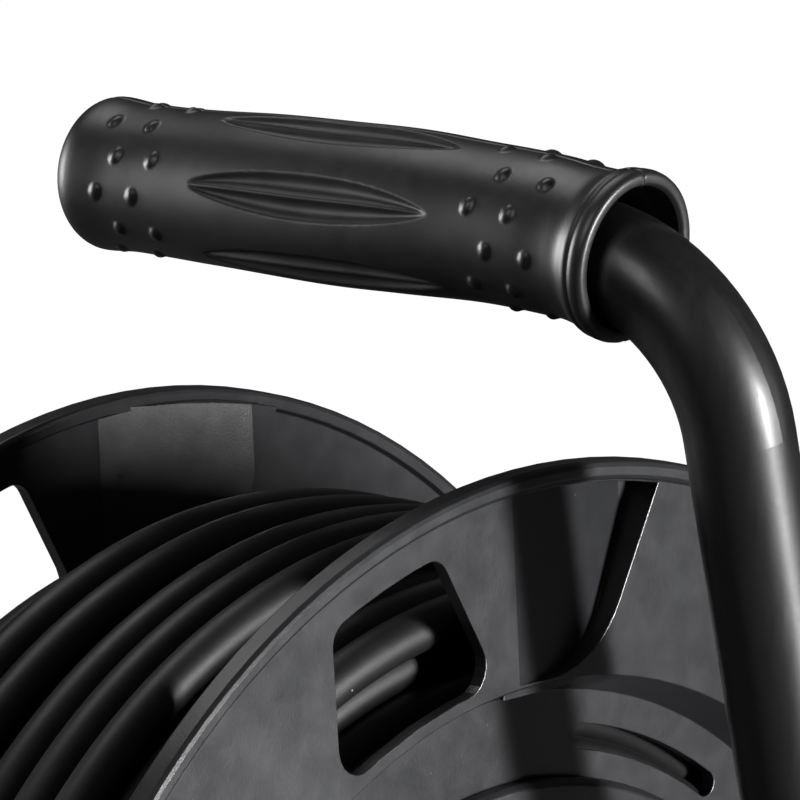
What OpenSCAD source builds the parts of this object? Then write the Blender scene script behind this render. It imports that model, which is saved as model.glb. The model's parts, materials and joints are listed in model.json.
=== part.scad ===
// Extension cord reel: a drum of rubber cable on a bent steel tube frame.
// Origin on the floor under the middle of the drum, +Z up. The frame's legs are
// on the -Y side and the socket panel is on the +Y side.

/* [Drum] */
// Outer radius of the drum's flanges
drum_r = 160; // [150:1:170]
// Distance from the drum's middle to a flange's flat ring
flange_y = 58; // [54:1:62]
// Wall thickness of the flanges
wall = 3; // [2.5:0.5:4]
// Height of the axle above the floor
axle_z = 195; // [190:1:215]
// Outer radius of the winding core
core_r = 78; // [76:1:84]
// Depth of the dished middle of a flange
dish_d = 9; // [7:0.5:10]
// Number of windows and finger scoops around a flange
repeats = 3; // [2:1:3]

/* [Finger scoops and windows] */
// Direction of the first window's middle, degrees up from +X
window_a = 108.1; // [104:0.1:112]
// Direction where the first scoop's ramp starts
scoop_start_a = 93.7; // [92:0.1:95]
// Direction where the first scoop ends in a step
scoop_end_a = 77; // [75:0.5:79]
// Depth of a finger scoop at its step
scoop_d = 7; // [4:0.5:8]
// Direction of the first drain slot's middle
slot_a = 66.9; // [60:0.1:76]

/* [Cable] */
// Radius of the cable's rubber jacket
cable_r = 4.5; // [3.5:0.25:5.5]
// Outer radius of the wound cable at its crown
wound_r = 142; // [120:1:146]

/* [Frame] */
// Outer radius of the frame tube
tube_r = 11; // [9:0.5:11.5]
// Wall thickness of the frame tube
tube_t = 1.5; // [1.2:0.1:2]
// Centre line radius of the tube's bends
bend_r = 34; // [30:1:44]
// Height of the handle arm's centre above the axle
arm_h = 204; // [195:1:215]
// Distance from the drum's middle back to the legs' centre lines
leg_y = 101; // [97:1:110]
// Sideways lean of the long leg, degrees
lean_a = 13.3; // [10:0.1:16]
// Length of the long leg between its bends
leg_len = 325.6; // [305:0.1:330]
// Distance from the drum's middle forward to the front bar's centre line
bar_y = 109; // [105:1:120]

/* [Grip] */
// Start of the grip along the arm
grip_y0 = -81; // [-84:1:-76]
// End of the grip along the arm
grip_y1 = 65; // [50:1:70]
// Largest radius of the grip
grip_r = 18; // [17:0.5:20]
// Half width of the grip across its flattened sides
grip_w = 16; // [15:0.5:17]

/* [Sockets] */
// Radius of the socket panel
panel_r = 92; // [88:1:94]
// Distance of each socket from the drum's axis
socket_ring_r = 39; // [37:1:40]
// Radius of a socket's recess
socket_r = 19.75; // [19.5:0.25:20]
// Depth of a socket's recess
socket_d = 17.5; // [15:0.5:18]

/* [Hidden] */
$fn = 64;

gap = 0.05;                       // running and fitting clearance
tip = 1;                          // overshoot of a cutting solid

// Flange radii, from the rim inwards
rim_w = 4;                        // radial width of the rim bead
rim_d = 4.4;                      // depth of the rim behind the flat ring
dish_r = drum_r * 0.731;          // top edge of the dish's cone
dish_floor_r = dish_r - 4;        // foot of the dish's cone
dish_y = flange_y - dish_d;       // outer side of the dish floor
core_y = dish_y - wall;           // inner side of the dish floor
slot_r = drum_r * 0.647;          // centre line of the drain slots
slot_w = 5.2;
cover_r = drum_r * 0.597;         // rear hub cover
boss_r = core_r - 8.5;            // circle of the flange screws
screw_a0 = 30;                    // direction of the first flange screw
open_r = boss_r - 7;              // opening behind the socket panel
window_out_r = drum_r * 0.9375;
window_in_r = drum_r * 0.747;

// Axle stack along Y
axle_r = 9;
stud_r = 5;
bush_r = 12;
hub_r = 15.5;
stack_y = 2.5 - flange_y;         // outer face of the rear bush's flange
hub_y0 = stack_y + 2;
hub_y1 = 12;
ring_y = 15.7;                    // retaining ring's inner face
ring_t = 1.2;
washer_t = 1.5;

// Frame tubes. The arm, the long leg and the right rail lie in one leaning plane
// through the arm, and the left rail and the short leg lie in another.
pipe_in = tube_r - tube_t;
arm_z = axle_z + arm_h;
back_y = bend_r - leg_y;          // where the arm and the rails meet a bend
drop = leg_len + 2 * bend_r;
rail_x = round(100 * drop * sin(lean_a)) / 100;
rail_z = arm_z - drop * cos(lean_a);
brace_a = atan2(rail_x, axle_z - rail_z);
joint_y = bar_y - bend_r - 27;    // where the rails plug into the front bar
lean = [sin(lean_a), 0, -cos(lean_a)];
rise = [sin(brace_a), 0, cos(brace_a)];
leg_top = [0, -leg_y, arm_z] + bend_r * lean;
leg_foot = leg_top + leg_len * lean;
brace_foot = [-rail_x, -leg_y, rail_z] + bend_r * rise;
hub = [0, -leg_y, axle_z];

// The point where the short leg's centre line meets the long leg's
meet_z = (leg_top[0] + leg_top[2] * tan(lean_a) + axle_z * tan(brace_a))
    / (tan(lean_a) + tan(brace_a));
meet = [(meet_z - axle_z) * tan(brace_a), -leg_y, meet_z];

// Grip
grip_len = grip_y1 - grip_y0;
grip_end_r = grip_r - 1;
grip_neck_r = grip_r - 2.2;
arm_end_y = grip_y1 - 18;
grip_in_r = 14.2;
grip_screw_ys = [grip_y0 + 22, (grip_y0 + grip_y1) / 2, grip_y1 - 26];

// Feet
foot_ys = [-48, 60];
foot_len = 30;
foot_r = tube_r + 3.2;

// Socket panel
panel_y = dish_y + 5;             // front face of the panel
cup_r = socket_r + 2.25;
cup_floor_y = panel_y - socket_d;
lid_w = 46;
lid_t = 3.2;
lid_y = panel_y + 2.6;            // back of a closed lid
hinge_y = panel_y + 2;            // centre of a hinge pin
hinge_h = lid_w / 2 + 2.4;        // hinge height above a socket's centre
pin_r = 1.2;
knuckle_r = 2.4;
button_r = 5;
pin_half = 9.5;                   // half the spacing of a plug's pins

// Crank knob
knob_a = 37.5;
knob_ring_r = drum_r * 0.856;
knob_y0 = flange_y + 2.5;
knob_y1 = flange_y + 40;
spindle_r = 4;

// Plug parked on the front flange, in a clip
tail_r = (window_out_r + window_in_r) / 2;
tail_a = window_a + 120;
plug_a = 285;
plug_ring_r = drum_r * 0.856;
plug_len = 36;
plug_r = 18.5;
plug_y = flange_y + plug_r + 2.5;
boot_len = 26;
tail_bend_r = 20;
tail_pt = [tail_r * cos(tail_a), tail_r * sin(tail_a)];
plug_pt = [plug_ring_r * cos(plug_a), plug_ring_r * sin(plug_a)];
tail_span = norm(plug_pt - tail_pt);
plug_dir = atan2(plug_pt[1] - tail_pt[1], plug_pt[0] - tail_pt[0]);

function polar(r, a) = [r * cos(a), r * sin(a)];
function unit(v) = v / norm(v);

// Outline with rounded corners. Each corner is [x, y, radius], and the corners
// run anticlockwise around a convex outline.
function corner_arc(p, c, n, steps) =
    let (a = unit([p[0] - c[0], p[1] - c[1]]),
         b = unit([n[0] - c[0], n[1] - c[1]]),
         half = acos(a * b) / 2,
         mid = unit(a + b),
         o = [c[0], c[1]] + mid * c[2] / sin(half),
         a0 = atan2(-mid[1], -mid[0]) - (90 - half))
    c[2] == 0 ? [[c[0], c[1]]]
    : [for (i = [0:steps]) o + polar(c[2], a0 + i * (180 - 2 * half) / steps)];

function rounded(pts, steps = 6) =
    [for (i = [0:len(pts) - 1])
        each corner_arc(pts[(i + len(pts) - 1) % len(pts)], pts[i],
                        pts[(i + 1) % len(pts)], steps)];

function plate(w, h, r) =
    rounded([[-w / 2, -h / 2, r], [w / 2, -h / 2, r], [w / 2, h / 2, r], [-w / 2, h / 2, r]]);

// Places its children with local Z along a body's direction
module aim(p, d) {
    u = unit(d);
    translate(p)
        rotate([0, acos(u[2]), atan2(u[1], u[0])])
            children();
}

// A straight round run from p to q
module run(p, q, r) {
    aim(p, q - p) cylinder(h = norm(q - p), r = r);
}

// The frame tube's section
module pipe_section()
    difference() {
        circle(r = tube_r);
        circle(r = pipe_in);
    }

// A straight length of tube along Y
module pipe_y(y0, y1)
    translate([0, y1, 0]) rotate([90, 0, 0]) linear_extrude(height = y1 - y0) pipe_section();

// A quarter bend around X, from direction a0 (degrees from +Y towards +Z)
module pipe_bend_x(y, z, a0)
    translate([0, y, z]) rotate([90, 0, 90]) rotate([0, 0, a0])
        rotate_extrude(angle = 90) translate([bend_r, 0]) pipe_section();

// Places its children on the drum's axis, local Z pointing to -Y
module on_axis(y) {
    translate([0, y, axle_z]) rotate([90, 0, 0]) children();
}

// A ring on the drum's axis from y0 to y1
module axis_ring(y0, y1, r_in, r_out) {
    on_axis(y1)
        difference() {
            cylinder(h = y1 - y0, r = r_out);
            translate([0, 0, -tip]) cylinder(h = y1 - y0 + 2 * tip, r = r_in);
        }
}

// ---------- frame ----------

module handle_tube() color("#141414")
    difference() {
        translate([0, 0, arm_z]) rotate([0, -lean_a, 0]) {
            pipe_y(back_y, arm_end_y);
            pipe_bend_x(back_y, -bend_r, 90);
            translate([0, -leg_y, -bend_r - leg_len])
                linear_extrude(height = leg_len) pipe_section();
            pipe_bend_x(back_y, -bend_r - leg_len, 180);
            translate([0, 0, -drop]) pipe_y(back_y, joint_y);
        }
        for (y = grip_screw_ys)
            translate([-tube_r - tip, y, arm_z]) rotate([0, 90, 0])
                cylinder(h = 2 * tube_r + 2 * tip, r = 2.2);
    }

module brace_tube() color("#141414")
    difference() {
        translate([-rail_x, 0, rail_z]) rotate([0, brace_a, 0]) {
            pipe_y(back_y, joint_y);
            pipe_bend_x(back_y, bend_r, 180);
            translate([0, -leg_y, bend_r])
                linear_extrude(height = norm(meet - brace_foot)) pipe_section();
        }
        run(leg_top, leg_foot, tube_r + gap);
        translate(hub + [0, tube_r + tip, 0]) rotate([90, 0, 0])
            cylinder(h = 2 * tube_r + 2 * tip, r = stud_r + gap);
    }

module front_bar() color("#141414")
    translate([0, 0, rail_z]) {
        for (s = [-1, 1]) {
            translate([s * rail_x, 0, 0]) pipe_y(joint_y + gap, bar_y - bend_r);
            translate([s * (rail_x - bend_r), bar_y - bend_r, 0])
                rotate([0, 0, s > 0 ? 0 : 90])
                    rotate_extrude(angle = 90) translate([bend_r, 0]) pipe_section();
        }
        translate([bend_r - rail_x, bar_y, 0]) rotate([0, 90, 0])
            linear_extrude(height = 2 * (rail_x - bend_r)) pipe_section();
    }

// Swaged sleeves inside the joints between the rails and the front bar
module joint_sleeves() color("#7d8084")
    for (s = [-1, 1])
        translate([s * rail_x, joint_y + 20, rail_z]) rotate([90, 0, 0])
            difference() {
                cylinder(h = 40, r = pipe_in - gap);
                translate([0, 0, -tip]) cylinder(h = 40 + 2 * tip, r = pipe_in - 1.5);
            }

// Fillet collar where the short leg is welded to the long leg
module brace_weld() color("#161616")
    difference() {
        run(meet - 24 * rise, meet, tube_r + 1.8);
        run(meet - 30 * rise, meet + 5 * rise, tube_r + gap);
        run(leg_top, leg_foot, tube_r + gap);
    }

// The bracket's outline, in the plane of the legs
module bracket_outline() {
    low = axle_z - 34;
    high = meet_z - 28;
    polygon(rounded([
        [(low - axle_z) * tan(brace_a) - 14, low, 5],
        [leg_top[0] + (leg_top[2] - low) * tan(lean_a) + 14, low, 5],
        [leg_top[0] + (leg_top[2] - high) * tan(lean_a) + 14, high, 5],
        [(high - axle_z) * tan(brace_a) - 14, high, 5]
    ]));
}

bracket_half = 14;
bracket_bolts = [[24, -24], [22, 2], [27.8, 24]];

module bracket_blank(y0, y1)
    translate([0, y1, 0]) rotate([90, 0, 0])
        linear_extrude(height = y1 - y0) bracket_outline();

module bracket_tube_cuts() {
    run(brace_foot, meet, tube_r + gap);
    run(leg_top, leg_foot, tube_r + gap);
}

module bracket_bolt_holes(r)
    for (p = bracket_bolts)
        translate([p[0], -leg_y + 30, axle_z + p[1]]) rotate([90, 0, 0])
            cylinder(h = 60, r = r);

boss_y = stack_y - washer_t - 0.1;

module bracket_inner() color("#1b1b1b")
    difference() {
        union() {
            bracket_blank(-leg_y, bracket_half - leg_y);
            on_axis(boss_y)
                cylinder(h = boss_y + leg_y - bracket_half + 2, r1 = 20, r2 = 26);
        }
        bracket_tube_cuts();
        bracket_bolt_holes(2.2);
        on_axis(boss_y + tip) cylinder(h = boss_y + leg_y + tip, r = stud_r + gap);
        on_axis(boss_y + tip)
            cylinder(h = boss_y + leg_y - bracket_half + tip, r = axle_r + gap);
    }

module bracket_outer() color("#1b1b1b")
    difference() {
        bracket_blank(-leg_y - bracket_half, -leg_y);
        bracket_tube_cuts();
        bracket_bolt_holes(2.2);
        on_axis(-leg_y + tip) cylinder(h = bracket_half + 2 * tip, r = stud_r + gap);
    }

// A pan head screw with a cross recess: head on local +Z, shank down local -Z
module pan_screw(r, length, head_r, head_h) {
    difference() {
        cylinder(h = head_h, r = head_r);
        for (a = [0, 90])
            rotate([0, 0, a]) translate([-head_r * 0.55, -0.5, head_h * 0.4])
                cube([head_r * 1.1, 1, head_h]);
    }
    translate([0, 0, -length]) cylinder(h = length, r = r);
}

module bracket_screws() color("#8f9296")
    for (p = bracket_bolts)
        translate([p[0], -leg_y - bracket_half, axle_z + p[1]]) rotate([90, 0, 0])
            pan_screw(2.1, 2 * bracket_half - 3, 4, 2.4);

axle_shoulder_y = -leg_y + bracket_half;
axle_end_y = 21;
stud_len = 2 * bracket_half + 5 + tip;   // through the bracket and the nut

module axle() color("#9a9da1")
    difference() {
        union() {
            on_axis(axle_end_y) cylinder(h = axle_end_y - axle_shoulder_y, r = axle_r);
            on_axis(axle_shoulder_y + tip)
                cylinder(h = stud_len, r = stud_r);
        }
        axis_ring(ring_y, ring_y + ring_t + 0.1, axle_r - 1, axle_r + tip);
    }

nut_t = 5;

module axle_nut() color("#8f9296")
    on_axis(-leg_y - bracket_half)
        difference() {
            cylinder(h = nut_t, r = 9.2, $fn = 6);
            translate([0, 0, -tip]) cylinder(h = nut_t + 2 * tip, r = stud_r + gap);
        }

module thrust_washer() color("#a8abaf")
    axis_ring(boss_y, boss_y + washer_t, axle_r + 0.1, 17);

module end_washer() color("#a8abaf")
    axis_ring(ring_y - washer_t - gap, ring_y - gap, axle_r + 0.1, 15);

module retaining_ring() color("#6d7075")
    difference() {
        axis_ring(ring_y + gap, ring_y + ring_t, axle_r - 0.9, 12);
        translate([-3, ring_y - tip, axle_z - 13]) cube([6, ring_t + 2 * tip, 8]);
    }

// Half profile of the grip from its end at the bend to its closed end
module grip_profile()
    polygon([
        [0, 0],
        [grip_end_r - 1, 0],
        [grip_end_r, 1],
        [grip_end_r, 4],
        [grip_neck_r, 11],
        [grip_r - 0.6, grip_len * 0.3],
        [grip_r, grip_len * 0.45],
        [grip_r, grip_len * 0.6],
        [grip_r - 0.6, grip_len * 0.75],
        [grip_neck_r, grip_len - 13],
        [grip_end_r, grip_len - 5],
        [grip_end_r - 1, grip_len - 1.5],
        [grip_end_r - 4, grip_len],
        [0, grip_len]
    ]);

module grip_axis() translate([0, grip_y0, arm_z]) rotate([-90, 0, 0]) children();

module grip_body()
    difference() {
        intersection() {
            grip_axis() rotate_extrude() grip_profile();
            translate([-grip_w, grip_y0 - tip, arm_z - 2 * grip_r])
                cube([2 * grip_w, grip_len + 2 * tip, 4 * grip_r]);
        }
        // hollow between the three ribs that hold the tube
        for (span = [[0.03, 0.12], [0.17, 0.48], [0.53, 0.84]])
            translate([0, grip_y0 + grip_len * span[0], arm_z]) rotate([-90, 0, 0])
                cylinder(h = grip_len * (span[1] - span[0]), r = grip_in_r);
        translate([0, grip_y0 - tip, arm_z]) rotate([-90, 0, 0])
            cylinder(h = grip_len * 0.04 + tip, r = grip_in_r);
        translate([0, grip_y0, arm_z]) rotate([-90, 0, 0])
            cylinder(h = arm_end_y - grip_y0 + 4, r = tube_r + gap);
        // relief in the mouth for the start of the tube's bend
        translate([0, 0, arm_z]) rotate([0, -lean_a, 0])
            translate([0, back_y, -bend_r]) rotate([90, 0, 90]) rotate([0, 0, 90])
                rotate_extrude(angle = 60) translate([bend_r, 0]) circle(r = tube_r + 0.4);
    }

module grip_half(side)
    intersection() {
        grip_body();
        translate([side > 0 ? 0 : -2 * grip_r, grip_y0 - tip, arm_z - 2 * grip_r])
            cube([2 * grip_r, grip_len + 2 * tip, 4 * grip_r]);
    }

screw_seat_x = tube_r + 0.6;      // where the grip's screw heads bear

module grip_shell_left() color("#202020")
    difference() {
        grip_half(-1);
        for (y = grip_screw_ys)
            translate([-grip_w + 2, y, arm_z]) rotate([0, 90, 0]) cylinder(h = grip_w, r = 1.95);
    }

module grip_shell_right() color("#202020")
    difference() {
        grip_half(1);
        for (y = grip_screw_ys) {
            translate([0, y, arm_z]) rotate([0, 90, 0]) cylinder(h = 2 * grip_w, r = 2.1);
            translate([screw_seat_x, y, arm_z]) rotate([0, 90, 0])
                cylinder(h = grip_w, r = 4.1);
        }
    }

module grip_screws() color("#8f9296")
    for (y = grip_screw_ys)
        translate([screw_seat_x, y, arm_z]) rotate([0, 90, 0])
            pan_screw(1.9, screw_seat_x + grip_w - 2.5, 3.8, 2.4);

module tube_end_plug() color("#262626")
    translate([0, arm_end_y + 2, arm_z]) rotate([90, 0, 0])
        union() {
            cylinder(h = 2, r = tube_r);
            cylinder(h = 7, r = pipe_in - gap);
        }

module rubber_feet() color("#0e0e0e")
    for (sx = [-1, 1], y = foot_ys)
        difference() {
            union() {
                translate([sx * rail_x, y - foot_len / 2, rail_z]) rotate([-90, 0, 0])
                    cylinder(h = foot_len, r = foot_r);
                translate([sx * rail_x - 11, y - foot_len / 2, 0])
                    cube([22, foot_len, rail_z]);
            }
            translate([sx * rail_x, y - foot_len, rail_z]) rotate([-90, 0, 0])
                cylinder(h = 2 * foot_len, r = tube_r + gap);
            translate([sx * rail_x - foot_r - tip, y - foot_len, -20])
                cube([2 * foot_r + 2 * tip, 2 * foot_len, 20]);
        }

// ---------- drum ----------

// Section of a flange from its middle opening to its rim bead; Z is outwards
module flange_section(r_in)
    polygon([
        [r_in, -dish_d],
        [dish_floor_r, -dish_d],
        [dish_r, 0],
        [drum_r - rim_w, 0],
        [drum_r - rim_w + 0.3, 0.9],
        [drum_r - rim_w + 1, 1.5],
        [drum_r - 1.3, 1.5],
        [drum_r - 0.4, 1.1],
        [drum_r, 0.2],
        [drum_r, 0.6 - rim_d],
        [drum_r - 0.4, 0.2 - rim_d],
        [drum_r - 1, -rim_d],
        [drum_r - wall, -rim_d],
        [drum_r - wall - 0.5, -wall],
        [dish_r + 0.8, -wall],
        [dish_floor_r + 1.2, -dish_d - wall],
        [r_in, -dish_d - wall]
    ]);

// A window's outline: arcs along the rim and the dish, slanted sides
module window_outline() {
    half_out = 6.2;
    half_in = 11.5;
    polygon(rounded(concat(
        [concat(polar(window_out_r, -half_out), 5)],
        [for (k = [-0.5, 0, 0.5]) concat(polar(window_out_r, k * half_out), 0)],
        [concat(polar(window_out_r, half_out), 5)],
        [concat(polar(window_in_r, half_in), 6)],
        [for (k = [0.5, 0, -0.5]) concat(polar(window_in_r, k * half_in), 0)],
        [concat(polar(window_in_r, -half_in), 6)]
    )));
}

scoop_ramp = 39;                  // length of a scoop's ramp
scoop_corner = [dish_r + 2, 82.45, 23];
scoop_land = 0.6;                 // land between a scoop and the dish's edge

// A scoop's outline: straight at the ramp's start, a sweeping step at its end
module scoop_outline(grow) {
    reach = drum_r + 2;
    a0 = scoop_start_a + 1 + grow * 0.4;
    a1 = scoop_end_a - grow * 0.4;
    polygon(rounded([
        concat(polar(dish_r + scoop_land - grow, a0), 0),
        concat(polar(scoop_corner[0] - grow, scoop_corner[1] - grow * 0.8), scoop_corner[2]),
        concat(polar(reach, a1), 0),
        concat(polar(reach, a0), 0)
    ], 10));
}

// The space above a scoop's ramp and floor, lowered by drop. The ramp's line runs
// on above the flange so that no two faces coincide.
module scoop_space(drop, top) {
    lead = 5;
    rise_in = lead * scoop_d / scoop_ramp;
    rotate([0, 0, scoop_start_a])
        translate([dish_r - 20, 0, 0]) rotate([0, 90, 0]) rotate([0, 0, 180])
            linear_extrude(height = 70)
                polygon([
                    [rise_in - drop, -lead],
                    [-drop - scoop_d, scoop_ramp],
                    [-drop - scoop_d, scoop_ramp + 30],
                    [top, scoop_ramp + 30],
                    [top, -lead]
                ]);
}

module scoop_cut()
    intersection() {
        linear_extrude(height = 60, center = true) scoop_outline(0);
        scoop_space(0, 5);
        translate([0, 0, -30]) cylinder(h = 60, r = drum_r - rim_w - 0.4, $fn = 128);
    }

module scoop_back()
    intersection() {
        linear_extrude(height = 60, center = true) scoop_outline(2.2);
        scoop_space(wall - 0.2, -1);
        translate([0, 0, -30]) cylinder(h = 60, r = drum_r - rim_w + 1.5, $fn = 128);
    }

module drain_slot() {
    half = 11.4;
    translate([0, 0, -dish_d - wall - tip]) {
        rotate([0, 0, slot_a - half])
            rotate_extrude(angle = 2 * half, $fn = 128)
                translate([slot_r - slot_w / 2, 0]) square([slot_w, wall + 2 * tip]);
        for (s = [-1, 1])
            rotate([0, 0, slot_a + s * half]) translate([slot_r, 0, 0])
                cylinder(h = wall + 2 * tip, r = slot_w / 2, $fn = 24);
    }
}

module flange(r_in)
    difference() {
        union() {
            rotate_extrude($fn = 128) flange_section(r_in);
            for (k = [0:repeats - 1]) rotate([0, 0, k * 360 / repeats]) scoop_back();
        }
        for (k = [0:repeats - 1]) rotate([0, 0, k * 360 / repeats]) {
            scoop_cut();
            rotate([0, 0, window_a])
                linear_extrude(height = 40, center = true) window_outline();
            drain_slot();
        }
        for (k = [0:2]) rotate([0, 0, screw_a0 + k * 120]) translate([boss_r, 0, -30])
            cylinder(h = 60, r = 2.3, $fn = 24);
    }

module rear_flange() color("#3c3c3e")
    on_axis(-flange_y) flange(hub_r + 0.1);

module front_flange() color("#3c3c3e")
    mirror([0, 1, 0]) on_axis(-flange_y)
        difference() {
            flange(open_r);
            rotate([0, 0, knob_a]) translate([knob_ring_r, 0, -30])
                cylinder(h = 60, r = spindle_r + gap);
        }

gland_a = 12;
gland_y = 30;

module core_barrel() color("#2d2d2f")
    difference() {
        union() {
            axis_ring(-core_y, core_y, core_r - wall, core_r);
            axis_ring(-core_y, -core_y + 4, hub_r - 1, core_r - 1);
            axis_ring(hub_y0, hub_y1, bush_r + 0.02, hub_r);
            for (k = [0:5])
                on_axis(-core_y + 32) rotate([0, 0, k * 60])
                    translate([hub_r - 1, -1.2, 0]) cube([core_r - hub_r - 1, 2.4, 30]);
            for (k = [0:2])
                on_axis(core_y) rotate([0, 0, screw_a0 + k * 120])
                    translate([boss_r, 0, 0]) cylinder(h = 2 * core_y, r = 6.5, $fn = 32);
        }
        for (k = [0:2])
            on_axis(core_y + tip) rotate([0, 0, screw_a0 + k * 120])
                translate([boss_r, 0, 0]) cylinder(h = 2 * core_y + 2 * tip, r = 1.95, $fn = 24);
        translate([0, gland_y, axle_z]) rotate([0, 90 - gland_a, 0])
            translate([0, 0, core_r - 20]) cylinder(h = 40, r = 7 + gap);
    }

module flange_screws() color("#8f9296")
    for (k = [0:2], s = [-1, 1])
        mirror([0, s > 0 ? 1 : 0, 0])
            on_axis(-dish_y) rotate([0, 0, screw_a0 + k * 120])
                translate([boss_r, 0, 0]) pan_screw(1.9, 18, 4, 2.2);

cover_t = 4;

module rear_hub_cover() color("#38383a")
    on_axis(-dish_y)
        difference() {
            rotate_extrude($fn = 128)
                polygon([
                    [hub_r + 0.2, 0],
                    [hub_r + 4, 0],
                    [hub_r + 4, cover_t - 1.6],
                    [cover_r - 3, cover_t - 1.6],
                    [cover_r - 3, 0],
                    [cover_r, 0],
                    [cover_r, cover_t - 1.8],
                    [cover_r - 1.2, cover_t - 0.6],
                    [hub_r + 14, cover_t - 0.6],
                    [hub_r + 12, cover_t],
                    [hub_r + 1.5, cover_t],
                    [hub_r + 0.2, cover_t - 1]
                ]);
            for (k = [0:2]) rotate([0, 0, 90 + k * 120]) translate([cover_r * 0.72, 0, -tip])
                cylinder(h = 20, r = 2.2, $fn = 24);
        }

module bush(y_flange, dir)
    if (dir > 0) {
        axis_ring(y_flange, y_flange + 2, axle_r + gap, 15);
        axis_ring(y_flange + 2 - tip, y_flange + 20, axle_r + gap, bush_r);
    } else {
        axis_ring(y_flange - 2, y_flange, axle_r + gap, 15);
        axis_ring(y_flange - 20, y_flange - 2 + tip, axle_r + gap, bush_r);
    }

module bush_rear() color("#d9d5c8") bush(stack_y, 1);

module bush_front() color("#d9d5c8") bush(hub_y1 + 2, -1);

module cable_winding() color("#121212")
    on_axis(0)
        rotate_extrude($fn = 128)
            polygon([
                [core_r + 0.2, -core_y + 0.5],
                [dish_floor_r + 0.6, -core_y + 0.5],
                [dish_floor_r + 5, -dish_y + 1.5],
                [wound_r - 8, -dish_y + 1.5],
                [wound_r, -20],
                [wound_r, 20],
                [wound_r - 8, dish_y - 1.5],
                [dish_floor_r + 5, dish_y - 1.5],
                [dish_floor_r + 0.6, core_y - 0.5],
                [core_r + 0.2, core_y - 0.5]
            ]);

// Places its children at the plug's face, local Z along its pins
module at_plug()
    translate([plug_pt[0], plug_y, axle_z + plug_pt[1]])
        rotate([0, -plug_dir, 0]) rotate([0, 90, 0]) children();

module cable_tail() color("#121212")
    at_plug() {
        // straight from inside the boot to the bend
        translate([0, 0, -tail_span + tail_bend_r])
            cylinder(h = tail_span - tail_bend_r - plug_len - boot_len / 2, r = cable_r);
        translate([0, -tail_bend_r, -tail_span + tail_bend_r])
            rotate([0, 90, 0]) rotate_extrude(angle = 90)
                translate([tail_bend_r, 0]) circle(r = cable_r, $fn = 32);
        translate([0, -tail_bend_r, -tail_span]) rotate([90, 0, 0])
            cylinder(h = plug_y - tail_bend_r - dish_y + 1, r = cable_r);
    }

module plug_body() color("#151515")
    at_plug()
        difference() {
            rotate_extrude()
                polygon([
                    [0, 0],
                    [plug_r - 0.8, 0],
                    [plug_r, -0.8],
                    [plug_r, -9],
                    [plug_r - 1.5, -12],
                    [plug_r - 5, -22],
                    [plug_r - 7, -plug_len + 2],
                    [plug_r - 8, -plug_len],
                    [0, -plug_len]
                ]);
            translate([0, 0, -plug_len - tip]) cylinder(h = 9, r = 7 + gap);
            for (s = [-1, 1]) {
                translate([0, s * pin_half, -8]) cylinder(h = 10, r = 2.4 + gap);
                translate([s * plug_r, 0, -12]) rotate([0, 0, 45]) cube([5, 5, 40], center = true);
            }
        }

module plug_pins() color("#b9bcc0")
    at_plug()
        for (s = [-1, 1])
            translate([0, s * pin_half, -7]) {
                cylinder(h = 25, r = 2.4);
                translate([0, 0, 25 - gap]) cylinder(h = 1, r1 = 2.4, r2 = 1.6);
            }

module plug_boot() color("#111111")
    at_plug()
        translate([0, 0, -plug_len - boot_len])
            difference() {
                union() {
                    cylinder(h = boot_len + 7, r = 6);
                    translate([0, 0, boot_len - 1]) cylinder(h = 8, r = 7);
                    for (k = [0:4]) translate([0, 0, 2 + 4.4 * k])
                        cylinder(h = 2.4, r = 6.6);
                }
                translate([0, 0, -tip]) cylinder(h = boot_len + 10, r = cable_r + gap);
            }

clip_t = 2.4;
clip_back = 30;                   // from the plug's face back to the clip's middle

module plug_clip() color("#2d2d2f")
    at_plug()
        translate([0, 0, -clip_back]) {
            clip_r = 13.1;
            difference() {
                union() {
                    rotate([0, 0, 155]) rotate_extrude(angle = 230)
                        translate([clip_r, -5]) square([clip_t, 10]);
                    translate([-7, -plug_r - 2.5, -5])
                        cube([14, plug_r + 2.5 - clip_r - 1, 10]);
                }
                translate([0, 0, -10]) cylinder(h = 20, r = clip_r);
            }
        }

module cable_gland() color("#1a1a1a")
    translate([0, gland_y, axle_z]) rotate([0, 90 - gland_a, 0])
        difference() {
            union() {
                translate([0, 0, core_r - 12]) cylinder(h = 11.4, r = 7);
                translate([0, 0, core_r - 16]) cylinder(h = 9, r = 10, $fn = 6);
            }
            translate([0, 0, core_r - 20]) cylinder(h = 40, r = cable_r + gap);
        }

module inner_lead() color("#121212")
    translate([0, gland_y, axle_z]) rotate([0, 90 - gland_a, 0])
        translate([0, 0, core_r - 24]) cylinder(h = 23.6, r = cable_r);

module terminal_block() color("#cfcabb")
    translate([-70, 24, axle_z - 9])
        difference() {
            cube([12, 16, 18]);
            for (z = [3, 9, 15], x = [-tip, 8])
                translate([x, 8, z]) rotate([0, 90, 0]) cylinder(h = 4 + tip, r = 1.8, $fn = 24);
        }

// ---------- socket panel ----------

socket_dirs = [45, 135, 225, 315];

module at_socket(k) {
    p = polar(socket_ring_r, socket_dirs[k]);
    translate([p[0], 0, axle_z + p[1]]) children();
}

// A round solid along Y from y0 to y1
module y_disc(y0, y1, r) translate([0, y1, 0]) rotate([90, 0, 0]) cylinder(h = y1 - y0, r = r);

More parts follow.
